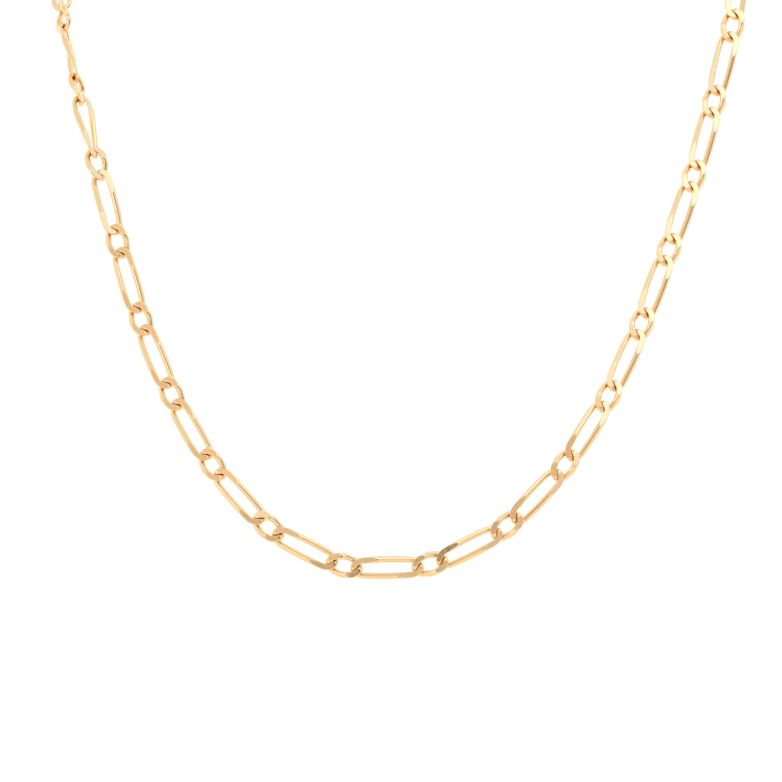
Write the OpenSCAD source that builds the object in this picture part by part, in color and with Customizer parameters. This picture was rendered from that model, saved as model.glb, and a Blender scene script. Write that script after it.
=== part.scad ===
// Figaro neck chain: one long link and one short link by turns, hanging as it is worn.
// The origin is the middle of the clasp at the nape, +Z is up and the front of the
// chain faces -Y. Each link is an oval of round wire, twisted as in a curb chain and
// cut flat on its front and back. All lengths are in millimetres.

/* [Chain] */
// Length of the closed loop, clasp and rings included
chain_length = 450; // [380:5:600]
// Outer length of a long link
long_link = 13.05; // [9:0.05:18]
// Outer length of a short link
short_link = 6.9; // [6:0.05:8.5]
// Diameter of the wire that the links are bent from
link_wire = 1.06; // [0.9:0.02:1.2]
// Room at each side of the next link's wire inside a link
side_play = 0.38; // [0.35:0.01:0.6]
// Length that each rounded end of a link takes, to the middle of its wire
end_length = 1.5; // [1.4:0.05:1.7]
// Thickness of a link over its two flat faces
flat_thickness = 1.9; // [1.6:0.05:2.4]
// Angle that each end of a link is twisted out of its plane
end_twist = 42; // [36:1:48]
// Gap between two wires where one hooks into the other
hook_gap = 0.29; // [0.2:0.01:0.4]

/* [Clasp] */
// Outer diameter of the clasp's ring
clasp_diameter = 6; // [5.5:0.1:8]
// Thickness of the clasp's tube
clasp_tube = 1.25; // [1:0.05:1.5]
// Outer diameter of the eye on the clasp
eye_diameter = 3.4; // [3.2:0.1:4.5]
// Diameter of the eye's wire
eye_wire = 0.8; // [0.6:0.05:0.9]
// Depth that the eye is sunk into the clasp's tube where it is soldered
eye_sink = 0.5; // [0.3:0.05:0.6]
// Height of the thumb stud over the clasp's tube
stud_height = 0.7; // [0.4:0.1:1.5]
// Diameter of the thumb stud
stud_diameter = 0.9; // [0.6:0.1:1.1]

/* [Jump rings] */
// Outer diameter of the two jump rings
ring_diameter = 5; // [4.8:0.1:6]
// Diameter of the jump rings' wire
ring_wire = 0.85; // [0.7:0.05:0.9]

/* [Detail] */
// Steps round each end of a link
end_steps = 6; // [4:1:6]
// Steps along each side of a link
side_steps = 2; // [1:1:2]
// Sides of the links' wire
wire_sides = 6; // [5:1:6]

/* [Hidden] */
$fn = 48;

// Gold of the links and of the clasp
link_gold = [0.93, 0.72, 0.44];
clasp_gold = [0.86, 0.66, 0.36];

// Way of the chain from the nape down the wearer's right side, seen at the left from
// the front, and up the other side. Each row is [x, y, z, roll about the chain]. The
// chain makes half a turn about itself high on the left.
route = [
    [0, 0, 0, -180],
    [-15, -1, 0.5, -180],
    [-29.5, -4, -1, -180],
    [-42.5, -9.5, -6.5, -180],
    [-52.5, -16.5, -15.5, -180],
    [-59, -24.5, -27.5, -180],
    [-60.5, -32.5, -41, -128],
    [-58.5, -38, -51, -90],
    [-55, -44, -64.5, -45],
    [-51, -49.5, -79, 0],
    [-47, -54, -93, 0],
    [-42.5, -58.5, -105, 0],
    [-36.5, -63, -117, 0],
    [-29.5, -67, -127, 0],
    [-20.5, -70, -135.5, 0],
    [-11, -71.5, -140, 0],
    [-2, -72, -141, 0],
    [7, -71.5, -139.5, 0],
    [17, -70, -134.5, 0],
    [26.5, -67, -125.5, 0],
    [34.5, -62.5, -114, 0],
    [40.5, -57.5, -102.5, 0],
    [45, -52.5, -91, 0],
    [49.5, -47.5, -79, 0],
    [53.5, -42, -67, 0],
    [57, -36.5, -53.5, 0],
    [60.5, -31, -38.5, 0],
    [59.5, -24, -25, 0],
    [53.5, -17, -13, 0],
    [44, -10.5, -4, 0],
    [31, -5, 1.5, 0],
    [16.5, -1.5, 2.5, 0],
    [0, 0, 0, 0]
];
// Steps of the smooth curve between two points of the route
route_steps = 12;

// A link is as wide as its own two wires, the next link's wire and the play beside it
link_width = 2 * link_wire + link_wire + 2 * side_play;
bend_radius = (link_width - link_wire) / 2;

function unit(v) = v / norm(v);

// Overlap, along the chain, of two hooked wires
function hook_reach(wire_a, wire_b) = (wire_a + wire_b) / 2 + hook_gap;

// Pieces in a row along the loop: [length between wire middles, first wire, last wire]
clasp_span = clasp_diameter + eye_diameter - eye_sink - (clasp_tube + eye_wire) / 2;
ring_span = ring_diameter - ring_wire;
clasp_item = [clasp_span, clasp_tube, eye_wire];
ring_item = [ring_span, ring_wire, ring_wire];
long_item = [long_link - link_wire, link_wire, link_wire];
short_item = [short_link - link_wire, link_wire, link_wire];

// Number of pairs of links that comes closest to the wanted length
link_reach = hook_reach(link_wire, link_wire);
pair_length = long_item[0] + short_item[0] - 2 * link_reach;
closing_length = clasp_span + 2 * ring_span + link_reach
    - hook_reach(eye_wire, ring_wire) - hook_reach(clasp_tube, ring_wire)
    - 2 * hook_reach(ring_wire, link_wire);
pair_count = round((chain_length - closing_length) / pair_length);
link_count = 2 * pair_count;
loop_length = pair_count * pair_length + closing_length;

items = concat(
    [clasp_item, ring_item],
    [for (i = [0 : link_count - 1]) i % 2 == 0 ? long_item : short_item],
    [ring_item]);

// Distance along the loop at which each piece's first wire lies
function advance(i) = items[i][0] - hook_reach(items[i][2], items[i + 1][1]);
item_starts = [for (i = 0, s = -clasp_span / 2;
        i < len(items);
        s = s + (i + 1 < len(items) ? advance(i) : 0),
        i = i + 1) s];

// Smooth closed curve through the points of the route, with the roll beside each point
function route_row(i) = route[(i + len(route) - 1) % (len(route) - 1)];
function route_point(i) = [for (k = [0 : 2]) route_row(i)[k]];
function smooth(a, b, c, d, t) = (2 * b + (c - a) * t + (2 * a - 5 * b + 4 * c - d) * t * t
    + (3 * b - a - 3 * c + d) * t * t * t) / 2;
function curve_point(i, t) =
    smooth(route_point(i - 1), route_point(i), route_point(i + 1), route_point(i + 2), t);
curve = [for (i = [0 : len(route) - 2], k = [0 : route_steps - 1])
    let (t = k / route_steps)
    concat(curve_point(i, t), [route[i][3] + (route[i + 1][3] - route[i][3]) * t])];
closed_curve = concat(curve, [route[len(route) - 1]]);

// Length of the drawn curve up to each of its points
function place(row) = [row[0], row[1], row[2]];
function step_length(i) = norm(place(closed_curve[i]) - place(closed_curve[i - 1]));
drawn_lengths = [for (i = 0, s = 0;
        i < len(closed_curve);
        i = i + 1, s = s + (i < len(closed_curve) ? step_length(i) : 0)) s];
drawn_length = drawn_lengths[len(drawn_lengths) - 1];

// The drawn curve is made longer or shorter until the loop closes
fit = loop_length / drawn_length;
function column(k) = [for (i = [0 : len(closed_curve) - 1])
    [drawn_lengths[i] * fit, closed_curve[i][k] * (k < 3 ? fit : 1)]];
x_column = column(0);
y_column = column(1);
z_column = column(2);
roll_column = column(3);
function loop_point(s) =
    let (u = (s + loop_length) % loop_length)
    [lookup(u, x_column), lookup(u, y_column), lookup(u, z_column)];

// Frame of a piece: x along the chain, z to the front, rolled about x
module set_in_loop(index, turn = 0) {
    start = loop_point(item_starts[index]);
    end = loop_point(item_starts[index] + items[index][0]);
    middle = item_starts[index] + items[index][0] / 2;
    x = unit(end - start);
    front = unit([0, -1, 0] + x[1] * x);
    roll = lookup(middle, roll_column) + turn;
    z = front * cos(roll) + cross(x, front) * sin(roll);
    y = cross(z, x);
    c = (start + end) / 2;
    multmatrix([[x[0], y[0], z[0], c[0]], [x[1], y[1], z[1], c[1]], [x[2], y[2], z[2], c[2]]])
        children();
}

// Flat oval that the wire's middle follows: [x, y, outward x, outward y]
function oval_end(x, a) =
    let (out = unit([bend_radius * cos(a), end_length * sin(a)]))
    [x + end_length * cos(a), bend_radius * sin(a), out[0], out[1]];
function oval(straight) = concat(
    [for (i = [0 : end_steps]) let (a = -90 + 180 * i / end_steps)
        oval_end(straight, a)],
    [for (i = [1 : side_steps - 1]) [straight - 2 * straight * i / side_steps, bend_radius, 0, 1]],
    [for (i = [0 : end_steps]) let (a = 90 + 180 * i / end_steps)
        oval_end(-straight, a)],
    [for (i = [1 : side_steps - 1]) [-straight + 2 * straight * i / side_steps, -bend_radius, 0, -1]]);

// The twist grows from the middle of the link to its ends
function twist_at(x, half) = -end_twist * sin(90 * x / half);
function twisted(x, y, angle) = [x, y * cos(angle), y * sin(angle)];
function flat_cut(p) = [p[0], p[1], max(-flat_thickness / 2, min(flat_thickness / 2, p[2]))];

// Closed wire swept round the oval, twisted and then cut flat on both faces
module link(outer_length) {
    half = (outer_length - link_wire) / 2;
    flat = oval(half - end_length);
    count = len(flat);
    middles = [for (p = flat) twisted(p[0], p[1], twist_at(p[0], half))];
    rings = [for (i = [0 : count - 1])
        let (ahead = unit(middles[(i + 1) % count] - middles[(i + count - 1) % count]),
            out = twisted(flat[i][2], flat[i][3], twist_at(flat[i][0], half)),
            side = unit(cross(out, ahead)),
            outward = cross(ahead, side))
        for (k = [0 : wire_sides - 1])
            let (a = 360 * (k + 0.5) / wire_sides)
            flat_cut(middles[i] + link_wire / 2 * (outward * cos(a) + side * sin(a)))];
    faces = [for (i = [0 : count - 1], k = [0 : wire_sides - 1])
        let (a = i * wire_sides + k,
            b = i * wire_sides + (k + 1) % wire_sides,
            c = (i + 1) % count * wire_sides + (k + 1) % wire_sides,
            d = (i + 1) % count * wire_sides + k)
        each [[a, b, c], [a, c, d]]];
    polyhedron(rings, faces);
}

module links(first, last) {
    for (i = [first : last])
        set_in_loop(i + 2)
            link(i % 2 == 0 ? long_link : short_link);
}

module chain_left() {
    color(link_gold) links(0, pair_count - 1);
}

module chain_right() {
    color(link_gold) links(pair_count, link_count - 1);
}

module wire_ring(outer_diameter, wire) {
    rotate_extrude()
        translate([(outer_diameter - wire) / 2, 0])
            circle(d = wire);
}

// Each jump ring stands between the planes of the clasp and of the next link's end
module clasp_ring() {
    color(clasp_gold)
        set_in_loop(1, 90 + end_twist / 2)
            wire_ring(ring_diameter, ring_wire);
}

module end_ring() {
    color(clasp_gold)
        set_in_loop(len(items) - 1, 90 - end_twist / 2)
            wire_ring(ring_diameter, ring_wire);
}

// Closed spring ring clasp as one plain piece, with its eye toward the clasp ring
module clasp() {
    ring_middle = -clasp_span / 2 + (clasp_diameter - clasp_tube) / 2;
    eye_middle = clasp_span / 2 - (eye_diameter - eye_wire) / 2;
    color(clasp_gold) set_in_loop(0) {
        translate([ring_middle, 0, 0]) {
            wire_ring(clasp_diameter, clasp_tube);
            translate([0, (clasp_diameter - clasp_tube) / 2, 0])
                cylinder(d = stud_diameter, h = clasp_tube / 2 + stud_height);
        }
        translate([eye_middle, 0, 0]) wire_ring(eye_diameter, eye_wire);
    }
}

chain_left();
chain_right();
clasp_ring();
clasp();
end_ring();
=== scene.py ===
# Figaro neck chain in polished gold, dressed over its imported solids. Lengths are in metres.
import math
import random
import bmesh
import bpy
import numpy as np
from mathutils import Matrix, Vector


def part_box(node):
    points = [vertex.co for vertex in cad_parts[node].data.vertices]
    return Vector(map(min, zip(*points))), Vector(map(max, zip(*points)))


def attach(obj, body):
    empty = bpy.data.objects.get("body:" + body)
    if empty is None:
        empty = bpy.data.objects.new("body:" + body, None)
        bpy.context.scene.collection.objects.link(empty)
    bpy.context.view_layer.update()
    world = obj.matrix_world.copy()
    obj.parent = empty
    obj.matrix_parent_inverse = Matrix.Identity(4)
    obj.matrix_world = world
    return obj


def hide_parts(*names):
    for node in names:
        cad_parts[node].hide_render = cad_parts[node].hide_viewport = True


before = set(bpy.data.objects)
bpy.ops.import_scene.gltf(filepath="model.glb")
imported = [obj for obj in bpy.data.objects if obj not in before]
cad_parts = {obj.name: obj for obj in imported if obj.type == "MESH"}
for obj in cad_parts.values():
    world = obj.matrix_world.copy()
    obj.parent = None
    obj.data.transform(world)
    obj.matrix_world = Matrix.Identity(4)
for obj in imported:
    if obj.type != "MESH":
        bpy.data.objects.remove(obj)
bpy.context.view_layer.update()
print("frame loaded with", len(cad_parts), "nodes")

# Camera straight in front, far back, as the photo was taken
camera = {
    "aimX": -0.0016,
    "aimZ": -0.1102,
    "frontY": -0.072,  # depth of the lowest link, which shows at the scale below
    "distance": 1.2,
    "pixelsPerMm": 5.771,
    "frameWidth": 782,
    "sensor": 36.0,  # mm
    "near": 0.1,
    "far": 50,
}


def addCamera(look):
    data = bpy.data.cameras.new("camera")
    shownWidth = look["frameWidth"] / look["pixelsPerMm"] / 1000
    data.sensor_width = look["sensor"]
    data.lens = look["sensor"] * look["distance"] / shownWidth
    data.clip_start = look["near"]
    data.clip_end = look["far"]
    seat = bpy.data.objects.new("camera", data)
    seat.location = (look["aimX"], look["frontY"] - look["distance"], look["aimZ"])
    seat.rotation_euler = (math.radians(90), 0, 0)
    bpy.context.scene.collection.objects.link(seat)
    bpy.context.scene.camera = seat


addCamera(camera)

# The studio: a white room, with soft cards of other brightness hung in it. Each card is
# seen from the chain at one place, so many degrees across from the camera and up, full to
# one angle from its middle and gone at the next. A slit is full and gone sideways too
studio = {
    "floorHeight": -0.30,
    "floorSize": 12.0,
    "floorColour": (1.0, 0.98, 0.95, 1),
    "floorRoughness": 0.9,
    "background": 1.3,  # strength of the plain white that the camera and the paper see
    "room": (0.91, 1.04, 1.22, 1),
    "cards": [
        {"at": (180, 0), "full": 62, "gone": 85, "light": (1.22, 1.3, 1.45, 1)},
        {"at": (180, 0), "full": 26, "gone": 34, "light": (0.92, 0.86, 0.84, 1)},
        {"at": (180, 5), "full": 26, "gone": 36, "slit": (5, 9), "light": (0.2, 0.17, 0.12, 1)},
        {"at": (80, 10), "full": 36, "gone": 56, "light": (0.93, 1.14, 1.52, 1)},
        {"at": (-20, 0), "full": 50, "gone": 64, "light": (0.96, 1.1, 1.36, 1)},
        {"at": (46, 4), "full": 16, "gone": 28, "light": (0.66, 0.70, 0.8, 1)},
        {"at": (-46, 6), "full": 12, "gone": 24, "light": (1.25, 1.45, 1.8, 1)},
        {"at": (-4, 5), "full": 17, "gone": 27, "light": (0.68, 0.63, 0.59, 1)},
        {"at": (-22, 40), "full": 16, "gone": 26, "light": (0.9, 0.81, 0.72, 1)},
        {"at": (19, 45), "full": 15, "gone": 21, "light": (1.3, 1.65, 2.1, 1)},
        {"at": (22, 22), "full": 7, "gone": 13, "light": (0.88, 0.70, 0.50, 1)},
        {"at": (43, 12), "full": 5, "gone": 11, "light": (0.2, 0.16, 0.1, 1)},
        {"at": (3, -23), "full": 10, "gone": 17, "light": (0.08, 0.06, 0.04, 1)},
        {"at": (3, -5), "full": 26, "gone": 36, "slit": (5, 9), "light": (0.06, 0.05, 0.03, 1)},
    ],
}

# Sockets of a colour mix: its share, its two colours, and the colour that it gives
mixShare, mixFirst, mixSecond, mixGiven = 0, 6, 7, 2


def addNode(tree, kind, **values):
    node = tree.nodes.new(kind)
    for name, value in values.items():
        if hasattr(node, name):
            setattr(node, name, value)
        else:
            node.inputs[name].default_value = value
    return node


def addMath(tree, operation, *values):
    node = addNode(tree, "ShaderNodeMath", operation=operation)
    for i, value in enumerate(values):
        tree.links.new(value, node.inputs[i])
    return node.outputs[0]


def addRamp(tree, value, start, end):
    # Soft change from 0 where the value is at its start to 1 where it is at its end
    ramp = addNode(tree, "ShaderNodeMapRange", interpolation_type="SMOOTHSTEP")
    ramp.inputs["From Min"].default_value = start
    ramp.inputs["From Max"].default_value = end
    tree.links.new(value, ramp.inputs["Value"])
    return ramp.outputs["Result"]


def addAlong(tree, place, direction):
    # How far a place in the room lies along a direction
    along = addNode(tree, "ShaderNodeVectorMath", operation="DOT_PRODUCT")
    along.inputs[1].default_value = direction
    tree.links.new(place, along.inputs[0])
    return along.outputs["Value"]


def addCard(tree, place, card, light):
    # The light of the room and the cards before this one, with this card in front
    across, up = (math.radians(angle) for angle in card["at"])
    full, gone = math.radians(card["full"]), math.radians(card["gone"])
    toward = math.sin(across) * math.cos(up), -math.cos(across) * math.cos(up), math.sin(up)
    shown = addRamp(tree, addAlong(tree, place, toward), math.cos(gone), math.cos(full))
    if "slit" in card:
        slitFull, slitGone = (math.radians(angle) for angle in card["slit"])
        sideways = addAlong(tree, place, (math.cos(across), math.sin(across), 0))
        off = addMath(tree, "ABSOLUTE", sideways)
        inside = addRamp(tree, off, math.sin(slitGone), math.sin(slitFull))
        shown = addMath(tree, "MULTIPLY", inside, shown)
    mix = addNode(tree, "ShaderNodeMix", data_type="RGBA")
    mix.inputs[mixSecond].default_value = card["light"]
    tree.links.new(shown, mix.inputs[mixShare])
    tree.links.new(light, mix.inputs[mixFirst])
    return mix.outputs[mixGiven]


def addStudio(look):
    world = bpy.data.worlds.new("studio")
    bpy.context.scene.world = world
    world.use_nodes = True
    tree = world.node_tree
    tree.nodes.clear()
    place = addNode(tree, "ShaderNodeTexCoord").outputs["Generated"]
    light = addNode(tree, "ShaderNodeRGB").outputs[0]
    light.default_value = look["room"]
    for card in look["cards"]:
        light = addCard(tree, place, card, light)
    # The camera and the paper see plain white, and the gold mirrors the cards
    seen = addNode(tree, "ShaderNodeLightPath").outputs
    plain = addMath(tree, "MAXIMUM", seen["Is Camera Ray"], seen["Is Diffuse Ray"])
    around = addNode(tree, "ShaderNodeBackground")
    behind = addNode(tree, "ShaderNodeBackground", Strength=look["background"])
    choice = addNode(tree, "ShaderNodeMixShader")
    out = addNode(tree, "ShaderNodeOutputWorld")
    tree.links.new(light, around.inputs["Color"])
    tree.links.new(plain, choice.inputs[0])
    tree.links.new(around.outputs[0], choice.inputs[1])
    tree.links.new(behind.outputs[0], choice.inputs[2])
    tree.links.new(choice.outputs[0], out.inputs[0])
    bpy.context.scene.view_settings.view_transform = "Standard"


def addFloor(look):
    half = look["floorSize"] / 2
    corners = [(-half, -half, 0), (half, -half, 0), (half, half, 0), (-half, half, 0)]
    mesh = bpy.data.meshes.new("floor")
    mesh.from_pydata(corners, [], [(0, 1, 2, 3)])
    floor = bpy.data.objects.new("floor", mesh)
    floor.location = (0, 0, look["floorHeight"])
    bpy.context.scene.collection.objects.link(floor)
    paper = bpy.data.materials.new("paper")
    paper.use_nodes = True
    shader = paper.node_tree.nodes["Principled BSDF"]
    shader.inputs["Base Color"].default_value = look["floorColour"]
    shader.inputs["Roughness"].default_value = look["floorRoughness"]
    mesh.materials.append(paper)


addStudio(studio)
addFloor(studio)
print("studio and camera placed")

# Polished gold. The wire has faint clouds and a fine pitted grain, the cut faces have
# fine lines left by the cutting tool
wireGoldLook = {
    "pale": (0.95, 0.68, 0.36, 1),
    "deep": (0.93, 0.63, 0.29, 1),
    "cloudScale": 700,
    "smoothest": 0.03,
    "roughest": 0.07,
    "grainScale": (9000, 9000, 9000),
    "grainHeight": 0.0000006,
}
faceGoldLook = {
    "pale": (0.95, 0.66, 0.36, 1),
    "deep": (0.93, 0.62, 0.31, 1),
    "cloudScale": 1500,
    "smoothest": 0.2,
    "roughest": 0.28,
    "grainScale": (2500, 24000, 2500),
    "grainHeight": 0.0000004,
}
claspGoldLook = {
    "pale": (0.94, 0.64, 0.35, 1),
    "deep": (0.91, 0.59, 0.30, 1),
    "cloudScale": 900,
    "smoothest": 0.09,
    "roughest": 0.19,
    "grainScale": (1500, 16000, 1500),
    "grainHeight": 0.0000006,
}

# What all the gold shares. Where links meet there is painted shade: an occlusion mask darkens the
# gold's colour to deep orange, standing in for the shade of the joints and the gold mirroring
# itself there
anyGoldLook = {
    "cloudDetail": 3.0,
    "cloudLow": 0.3,  # value of the cloud where the gold is smoothest
    "cloudHigh": 0.7,
    "grainDetail": 2.0,
    # Colour of the painted shade laid on the gold in the joints
    "creaseShadeColour": (0.74, 0.38, 0.11, 1),
    "creaseShadeReach": 0.0008,
    "creaseShadeStart": 0.72,  # share of open room round a point where the painted shade starts to deepen its gold
    "creaseShadeFull": 0.25,
    "creaseShadeSamples": 8,
}


def goldMaterial(name, look, shared, coordinates):
    material = bpy.data.materials.new(name)
    material.use_nodes = True
    tree = material.node_tree
    shader = tree.nodes["Principled BSDF"]
    shader.inputs["Metallic"].default_value = 1.0
    place = addNode(tree, "ShaderNodeTexCoord")

    # Clouds: where the gold is paler, it is rougher too
    cloud = addNode(tree, "ShaderNodeTexNoise", Scale=look["cloudScale"],
                    Detail=shared["cloudDetail"])
    tone = addNode(tree, "ShaderNodeMix", data_type="RGBA")
    tone.inputs[mixFirst].default_value = look["deep"]
    tone.inputs[mixSecond].default_value = look["pale"]
    polish = addNode(tree, "ShaderNodeMapRange")
    polish.inputs["From Min"].default_value = shared["cloudLow"]
    polish.inputs["From Max"].default_value = shared["cloudHigh"]
    polish.inputs["To Min"].default_value = look["smoothest"]
    polish.inputs["To Max"].default_value = look["roughest"]
    tree.links.new(place.outputs["Object"], cloud.inputs["Vector"])
    tree.links.new(cloud.outputs["Fac"], tone.inputs[mixShare])
    tree.links.new(cloud.outputs["Fac"], polish.inputs["Value"])
    tree.links.new(polish.outputs["Result"], shader.inputs["Roughness"])

    # Painted shade in the creases between the links: the base colour is darkened to deep orange
    # where little open room is left round a point
    openRoom = addNode(tree, "ShaderNodeAmbientOcclusion", samples=shared["creaseShadeSamples"],
                       Distance=shared["creaseShadeReach"])
    shadeShare = addRamp(tree, openRoom.outputs["AO"], shared["creaseShadeStart"], shared["creaseShadeFull"])
    shadedTone = addNode(tree, "ShaderNodeMix", data_type="RGBA")
    shadedTone.inputs[mixSecond].default_value = shared["creaseShadeColour"]
    tree.links.new(shadeShare, shadedTone.inputs[mixShare])
    tree.links.new(tone.outputs[mixGiven], shadedTone.inputs[mixFirst])
    tree.links.new(shadedTone.outputs[mixGiven], shader.inputs["Base Color"])

    # Grain
    stretch = addNode(tree, "ShaderNodeMapping", Scale=look["grainScale"])
    grain = addNode(tree, "ShaderNodeTexNoise", Scale=1.0, Detail=shared["grainDetail"])
    bump = addNode(tree, "ShaderNodeBump", Distance=look["grainHeight"])
    tree.links.new(place.outputs[coordinates], stretch.inputs["Vector"])
    tree.links.new(stretch.outputs["Vector"], grain.inputs["Vector"])
    tree.links.new(grain.outputs["Fac"], bump.inputs["Height"])
    tree.links.new(bump.outputs["Normal"], shader.inputs["Normal"])
    return material


wireGold = goldMaterial("wire_gold", wireGoldLook, anyGoldLook, "Object")
faceGold = goldMaterial("face_gold", faceGoldLook, anyGoldLook, "UV")
claspGold = goldMaterial("clasp_gold", claspGoldLook, anyGoldLook, "UV")
print("gold mixed")

# One link of the chain, as its wire is bent, twisted and cut
link = {
    "wire": 0.0011,
    "bendRadius": 0.00145,  # half the distance between the middles of its two side wires
    "endLength": 0.0016,  # length of the rounded end, to the middle of its wire
    "endMiddle": 0.0006,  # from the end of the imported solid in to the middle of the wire
    "bow": 0.00026,  # how far the sides would stand out if they had no straight length
    "bowFades": 0.0030,  # half the straight length of a side at which none of that is left
    "endTwist": 42.0,  # degrees from the middle of the link to its end, growing evenly
    "closing": 0.75,  # how far the twist draws the side wires together, 1 for a pure turn
    "thickness": 0.00144,  # over both cut faces
    "faceSeat": 0.62,  # share of the half length where a face has the thickness above
    "faceTilt": 4.5,  # degrees that a cut face leans to its own end of the link
    "faceChance": 1.5,  # degrees of chance lean
    "tiltGrows": 0.0006,  # length over which the lean grows from the link's middle
    "rim": 12.0,  # degrees of wire taken by the soft rim of a cut face
    "rimDrop": 0.07,  # how far that rim falls below the face, as a share of its half width
    "rimStrips": 2,  # strips at each edge of a cut face that keep the wire's own gold
    "leastFace": 4.0,  # degrees of wire below which a cut is too narrow to be a face
    "stripShares": (-0.94, -0.82, -0.7, 0.7, 0.82, 0.94),  # places of points across a face
    "endSteps": 20,
    "sideStep": 0.0003,
    "leastSideSteps": 2,
    "arcSteps": 7,  # steps of round wire between the front and the back face
    "grainShift": 0.1,  # how far on each next link starts in the pattern of the grain
}


def linkMiddles(look, length):
    # Middle of the wire round the link, with the directions outward and sideways there
    radius = look["bendRadius"]
    half = length / 2 - look["endMiddle"]
    straight = half - look["endLength"]
    twist = math.radians(look["endTwist"])
    sideSteps = max(look["leastSideSteps"], round(2 * straight / look["sideStep"]))
    bow = look["bow"] * max(0, 1 - straight / look["bowFades"])
    places = []
    outs = []
    for end in (1, -1):
        for k in range(look["endSteps"]):
            a = math.pi * (k / look["endSteps"] - 0.5)
            x, y = look["endLength"] * math.cos(a), radius * math.sin(a)
            out = Vector((radius * math.cos(a), look["endLength"] * math.sin(a))).normalized()
            places.append((end * (straight + x), end * y))
            outs.append((end * out.x, end * out.y))
        for k in range(sideSteps):
            share = 1 - 2 * k / sideSteps
            bulge = bow * math.cos(math.pi / 2 * share) ** 2
            places.append((end * straight * share, end * (radius + bulge)))
            outs.append((0, end))

    def turned(x, y, place):
        angle = -twist * max(-1, min(1, place / half))
        return Vector((x, y * (1 - look["closing"] * (1 - math.cos(angle))), y * math.sin(angle)))

    middles = [turned(x, y, x) for x, y in places]
    rings = []
    for i, middle in enumerate(middles):
        ahead = (middles[(i + 1) % len(middles)] - middles[i - 1]).normalized()
        side = turned(*outs[i], places[i][0]).cross(ahead).normalized()
        rings.append((middle, ahead.cross(side), side))
    return rings, half


def wireSpot(wire, outward, side, angle):
    return (outward * math.cos(angle) + side * math.sin(angle)) * wire


def faceStrip(look, middle, outward, side, normal, height):
    # Points across one cut face, or across the same strip of round wire where it isn't cut
    wire = look["wire"] / 2
    leastFace = math.radians(look["leastFace"])
    outermost = max(look["stripShares"])
    across = Vector((normal.dot(outward), normal.dot(side)))
    level = (height - normal.dot(middle)) / (across.length * wire)
    facing = math.atan2(across.y, across.x)
    cut = math.acos(max(-1, min(1, level)))
    spread = max(cut, leastFace)
    outer = spread + math.radians(look["rim"])
    points = [middle + wireSpot(wire, outward, side, facing - outer)]
    for share in look["stripShares"]:
        over = share * math.sin(spread)
        drop = look["rimDrop"] * math.sin(spread) if abs(share) == outermost else 0
        up = min(level - drop, math.sqrt(1 - over ** 2))
        angle = facing + math.atan2(over, up)
        points.append(middle + wireSpot(wire * math.hypot(over, up), outward, side, angle))
    points.append(middle + wireSpot(wire, outward, side, facing + outer))
    return {
        "points": points,
        "first": facing - outer,
        "last": facing + outer,
        "cut": cut > leastFace,
    }


def linkMesh(look, length, tilts):
    # Round the link, each ring of points has a front strip, an arc, a back strip and an arc
    rings, half = linkMiddles(look, length)
    points = []
    cutHere = []
    for middle, outward, side in rings:
        end = 1 if middle.x >= 0 else -1
        share = math.tanh(abs(middle.x) / look["tiltGrows"])
        strips = []
        for front in (1, -1):
            lean, swing = tilts[(front, end)]
            normal = Vector((end * lean * share, swing * share, front)).normalized()
            seat = Vector((end * half * look["faceSeat"], 0, front * look["thickness"] / 2))
            strips.append(faceStrip(look, middle, outward, side, normal, normal.dot(seat)))
        for strip, nextStrip in (strips, strips[::-1]):
            points += strip["points"]
            rest = (nextStrip["first"] - strip["last"]) % (2 * math.pi)
            for k in range(1, look["arcSteps"]):
                angle = strip["last"] + rest * k / look["arcSteps"]
                points.append(middle + wireSpot(look["wire"] / 2, outward, side, angle))
        cutHere.append([strip["cut"] for strip in strips])
    return points, cutHere


def bandFaces(near, far, sides):
    # Faces between two rings of points, given the first point of each
    steps = [(k, (k + 1) % sides) for k in range(sides)]
    return [(near + k, far + k, far + after, near + after) for k, after in steps]


def linkFaces(look, cutHere):
    stripPoints = len(look["stripShares"]) + 2
    sides = 2 * (stripPoints + look["arcSteps"] - 1)
    firstFlat = look["rimStrips"]
    lastFlat = stripPoints - 2 - look["rimStrips"]
    faces = []
    cutFaces = []
    for i in range(len(cutHere)):
        after = (i + 1) % len(cutHere)
        faces += bandFaces(i * sides, after * sides, sides)
        for k in range(sides):
            face, step = divmod(k, sides // 2)
            flat = firstFlat <= step <= lastFlat
            cutFaces.append(flat and cutHere[i][face] and cutHere[after][face])
    return faces, cutFaces


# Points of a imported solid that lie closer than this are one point
weldDistance = 0.000001


def islandsOf(node):
    # The closed solids of a node, each as the list of its points
    shape = bmesh.new()
    shape.from_mesh(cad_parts[node].data)
    bmesh.ops.remove_doubles(shape, verts=shape.verts, dist=weldDistance)
    waiting = set(shape.verts)
    islands = []
    for start in shape.verts:
        if start not in waiting:
            continue
        waiting.discard(start)
        edge = [start]
        island = []
        while edge:
            vert = edge.pop()
            island.append(vert.co.copy())
            for near in vert.link_edges:
                other = near.other_vert(vert)
                if other in waiting:
                    waiting.discard(other)
                    edge.append(other)
        islands.append(island)
    shape.free()
    return islands


def ownAxes(island):
    # Middle of a solid, its long axis and the axis across its plane
    spots = np.array(island)
    middle = spots.mean(axis=0)
    axes = np.linalg.svd(spots - middle, full_matrices=False)[2]
    reach = (spots - middle) @ axes[0]
    return {
        "middle": Vector(middle),
        "long": Vector(axes[0]),
        "thin": Vector(axes[2]),
        "length": float(reach.max() - reach.min()),
    }


def inOrder(places, start):
    # The links one after another, from the one nearest to start
    left = list(places)
    here = start
    row = []
    while left:
        near = min(left, key=lambda place: (place["middle"] - here).length)
        left.remove(near)
        row.append(near)
        here = near["middle"]
    return row


def linkTurn(place, ahead):
    # A link's long axis runs on along the chain, and its front faces -Y
    x = place["long"] if place["long"].dot(ahead) > 0 else -place["long"]
    z = place["thin"] if place["thin"].y < 0 else -place["thin"]
    return Matrix((x, z.cross(x), z)).transposed()


# A shape is its points, its faces, and the place of each point in the pattern of the gold
def moved(shape, middle, turn=Matrix.Identity(3)):
    points, faces, flatPlaces = shape
    return [middle + turn @ point for point in points], faces, flatPlaces


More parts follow.
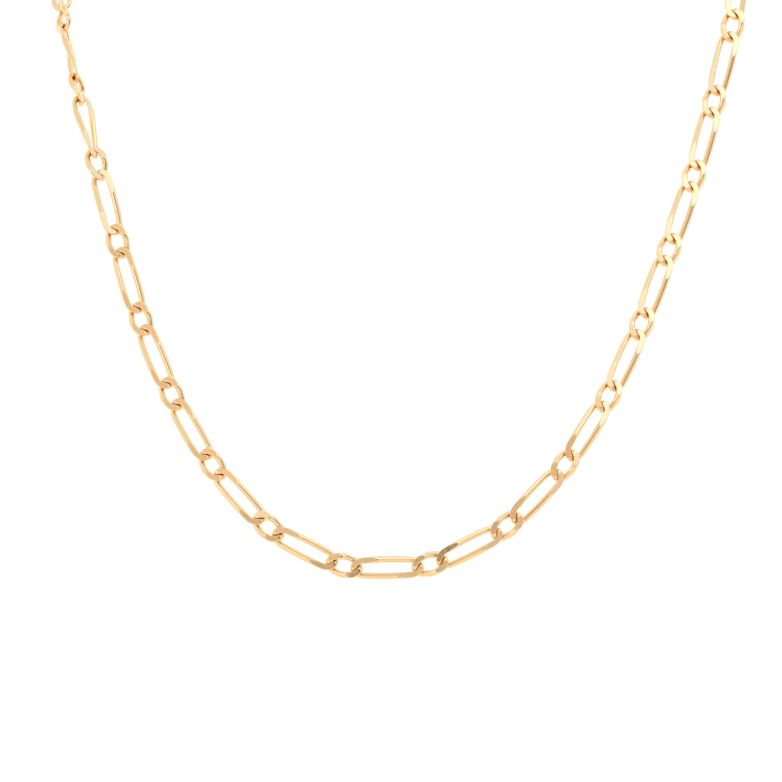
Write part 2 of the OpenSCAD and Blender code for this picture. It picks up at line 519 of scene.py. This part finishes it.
def joined(shapes):
    points = []
    faces = []
    flatPlaces = []
    for partPoints, partFaces, partPlaces in shapes:
        base = len(points)
        points += partPoints
        faces += [tuple(base + v for v in face) for face in partFaces]
        flatPlaces += partPlaces
    return points, faces, flatPlaces


def addPiece(name, shape, materials, node, faceMaterials=None):
    points, faces, flatPlaces = shape
    mesh = bpy.data.meshes.new(name)
    mesh.from_pydata(points, [], faces)
    for material in materials:
        mesh.materials.append(material)
    mesh.polygons.foreach_set("use_smooth", [True] * len(faces))
    if faceMaterials:
        mesh.polygons.foreach_set("material_index", faceMaterials)
    mesh.update()
    layer = mesh.uv_layers.new(name="along_the_wire")
    for corner in mesh.loops:
        layer.data[corner.index].uv = flatPlaces[corner.vertex_index]
    piece = bpy.data.objects.new(name, mesh)
    bpy.context.scene.collection.objects.link(piece)
    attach(piece, "root")
    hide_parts(node)


def faceTilts(look, chance):
    # Slopes of the front and back cut faces at both ends of a link, along it and across it
    tilts = {}
    for key in ((1, 1), (1, -1), (-1, 1), (-1, -1)):
        lean = look["faceTilt"] + chance.uniform(-1, 1) * look["faceChance"]
        swing = chance.uniform(-1, 1) * look["faceChance"]
        tilts[key] = (math.tan(math.radians(lean)), math.tan(math.radians(swing)))
    return tilts


def addChain(name, node, look, seed):
    chance = random.Random(seed)
    low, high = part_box("clasp")
    row = inOrder([ownAxes(island) for island in islandsOf(node)], (low + high) / 2)
    shapes = []
    cutFaces = []
    for i, place in enumerate(row):
        before, after = row[max(0, i - 1)], row[min(len(row) - 1, i + 1)]
        turn = linkTurn(place, after["middle"] - before["middle"])
        points, cutHere = linkMesh(look, place["length"], faceTilts(look, chance))
        faces, shownCuts = linkFaces(look, cutHere)
        flatPlaces = [(point.x + look["grainShift"] * i, point.y) for point in points]
        shapes.append(moved((points, faces, flatPlaces), place["middle"], turn))
        cutFaces += [int(cut) for cut in shownCuts]
    addPiece(name, joined(shapes), [wireGold, faceGold], node, cutFaces)
    print(name, "made of", len(row), "links and", len(cutFaces), "faces")


addChain("left_links", "chain_left", link, seed=3)
addChain("right_links", "chain_right", link, seed=7)

# Jump rings of round wire at the ends of the chain
endRing = {"diameter": 0.005, "wire": 0.00085, "steps": 96, "sides": 24}

# How the plane of a flat ringed solid is found
plate = {
    "studFrom": 0.55,  # share of the thickness off the plane from which points are a stud
    "rounds": 4,  # how many times the plane is found, each time without the stud
}


def wireRing(look):
    # A closed ring of round wire in the xy plane, with places along and round its wire
    radius = (look["diameter"] - look["wire"]) / 2
    wire = look["wire"] / 2
    steps, sides = look["steps"], look["sides"]
    points = []
    faces = []
    flatPlaces = []
    for i in range(steps):
        turn = 2 * math.pi * i / steps
        for k in range(sides):
            roll = 2 * math.pi * k / sides
            reach = radius + wire * math.cos(roll)
            height = wire * math.sin(roll)
            points.append(Vector((reach * math.cos(turn), reach * math.sin(turn), height)))
            flatPlaces.append((abs(turn - math.pi) * radius, abs(roll - math.pi) * wire))
        faces += bandFaces(i * sides, (i + 1) % steps * sides, sides)
    return points, faces, flatPlaces


def plateAxes(node, thickness, look):
    # Middle and own axes of a flat ringed solid, found without its stud
    spots = np.array([list(point) for island in islandsOf(node) for point in island])
    studFrom = look["studFrom"] * thickness
    kept = spots
    for again in range(look["rounds"]):
        middle = kept.mean(axis=0)
        long, wide, thin = np.linalg.svd(kept - middle, full_matrices=False)[2]
        kept = spots[np.abs((spots - middle) @ thin) < studFrom]
    # A stud, where there is one, stands on the front, at the upper side
    away = (spots - middle) @ thin
    stud = spots[np.abs(away) > studFrom]
    if len(stud):
        thin = thin * np.sign(away[np.abs(away).argmax()])
        wide = wide * np.sign(((stud - middle) @ wide).mean())
        long = np.cross(wide, thin)
    elif np.linalg.det(np.array([long, wide, thin])) < 0:
        thin = -thin
    for axis in (long, wide):
        along = (spots - middle) @ axis
        middle = middle + axis * (along.max() + along.min()) / 2
    return Vector(middle), Matrix((long, wide, thin)).transposed()


def addMetal(name, node, shapes, thickness):
    middle, turn = plateAxes(node, thickness, plate)
    addPiece(name, moved(joined(shapes), middle, turn), [claspGold], node)
    print(name, "made of", len(shapes), "shapes")


addMetal("left_ring", "clasp_ring", [wireRing(endRing)], endRing["wire"])
addMetal("right_ring", "end_ring", [wireRing(endRing)], endRing["wire"])

# The clasp: a ring of tube, an eye of wire soldered to it, and a thumb stud on the tube
clasp = {
    "tube": {"diameter": 0.006, "wire": 0.00125, "steps": 112, "sides": 32},
    "eye": {"diameter": 0.0034, "wire": 0.0008, "steps": 80, "sides": 24},
    "eyeSink": 0.0005,  # how far the eye sinks into the tube
    "studDiameter": 0.0009,
    "studHeight": 0.0007,
    "studRounding": 0.00022,
    "studSteps": 4,
    "studSides": 32,
}


def thumbStud(look, top):
    # A short pin up from the xy plane, with a rounded head
    radius = look["studDiameter"] / 2
    rounding = look["studRounding"]
    rows = [(radius, 0), (radius, top - rounding)]
    for step in range(1, look["studSteps"] + 1):
        a = math.radians(90 * step / look["studSteps"])
        rows.append((radius - rounding * (1 - math.cos(a)), top - rounding * (1 - math.sin(a))))
    sides = look["studSides"]
    points = []
    flatPlaces = []
    for reach, height in rows:
        for k in range(sides):
            a = 2 * math.pi * k / sides
            points.append(Vector((reach * math.cos(a), reach * math.sin(a), height)))
            flatPlaces.append((abs(a - math.pi) * radius, height))
    lastRow = (len(rows) - 1) * sides
    faces = [tuple(range(sides))[::-1]]
    for row in range(0, lastRow, sides):
        edges = [(row + k, row + (k + 1) % sides) for k in range(sides)]
        faces += [(start, end, end + sides, start + sides) for start, end in edges]
    faces.append(tuple(range(lastRow, lastRow + sides)))
    return points, faces, flatPlaces


def addClasp(look):
    # The clasp's long axis runs from its ring of tube to its eye
    tube, eye = look["tube"], look["eye"]
    reach = tube["diameter"] + eye["diameter"] - look["eyeSink"]
    tubeMiddle = Vector(((tube["diameter"] - reach) / 2, 0, 0))
    eyeMiddle = Vector(((reach - eye["diameter"]) / 2, 0, 0))
    studFoot = tubeMiddle + Vector((0, (tube["diameter"] - tube["wire"]) / 2, 0))
    shapes = [
        moved(wireRing(tube), tubeMiddle),
        moved(wireRing(eye), eyeMiddle),
        moved(thumbStud(look, tube["wire"] / 2 + look["studHeight"]), studFoot),
    ]
    addMetal("clasp_body", "clasp", shapes, tube["wire"])


addClasp(clasp)
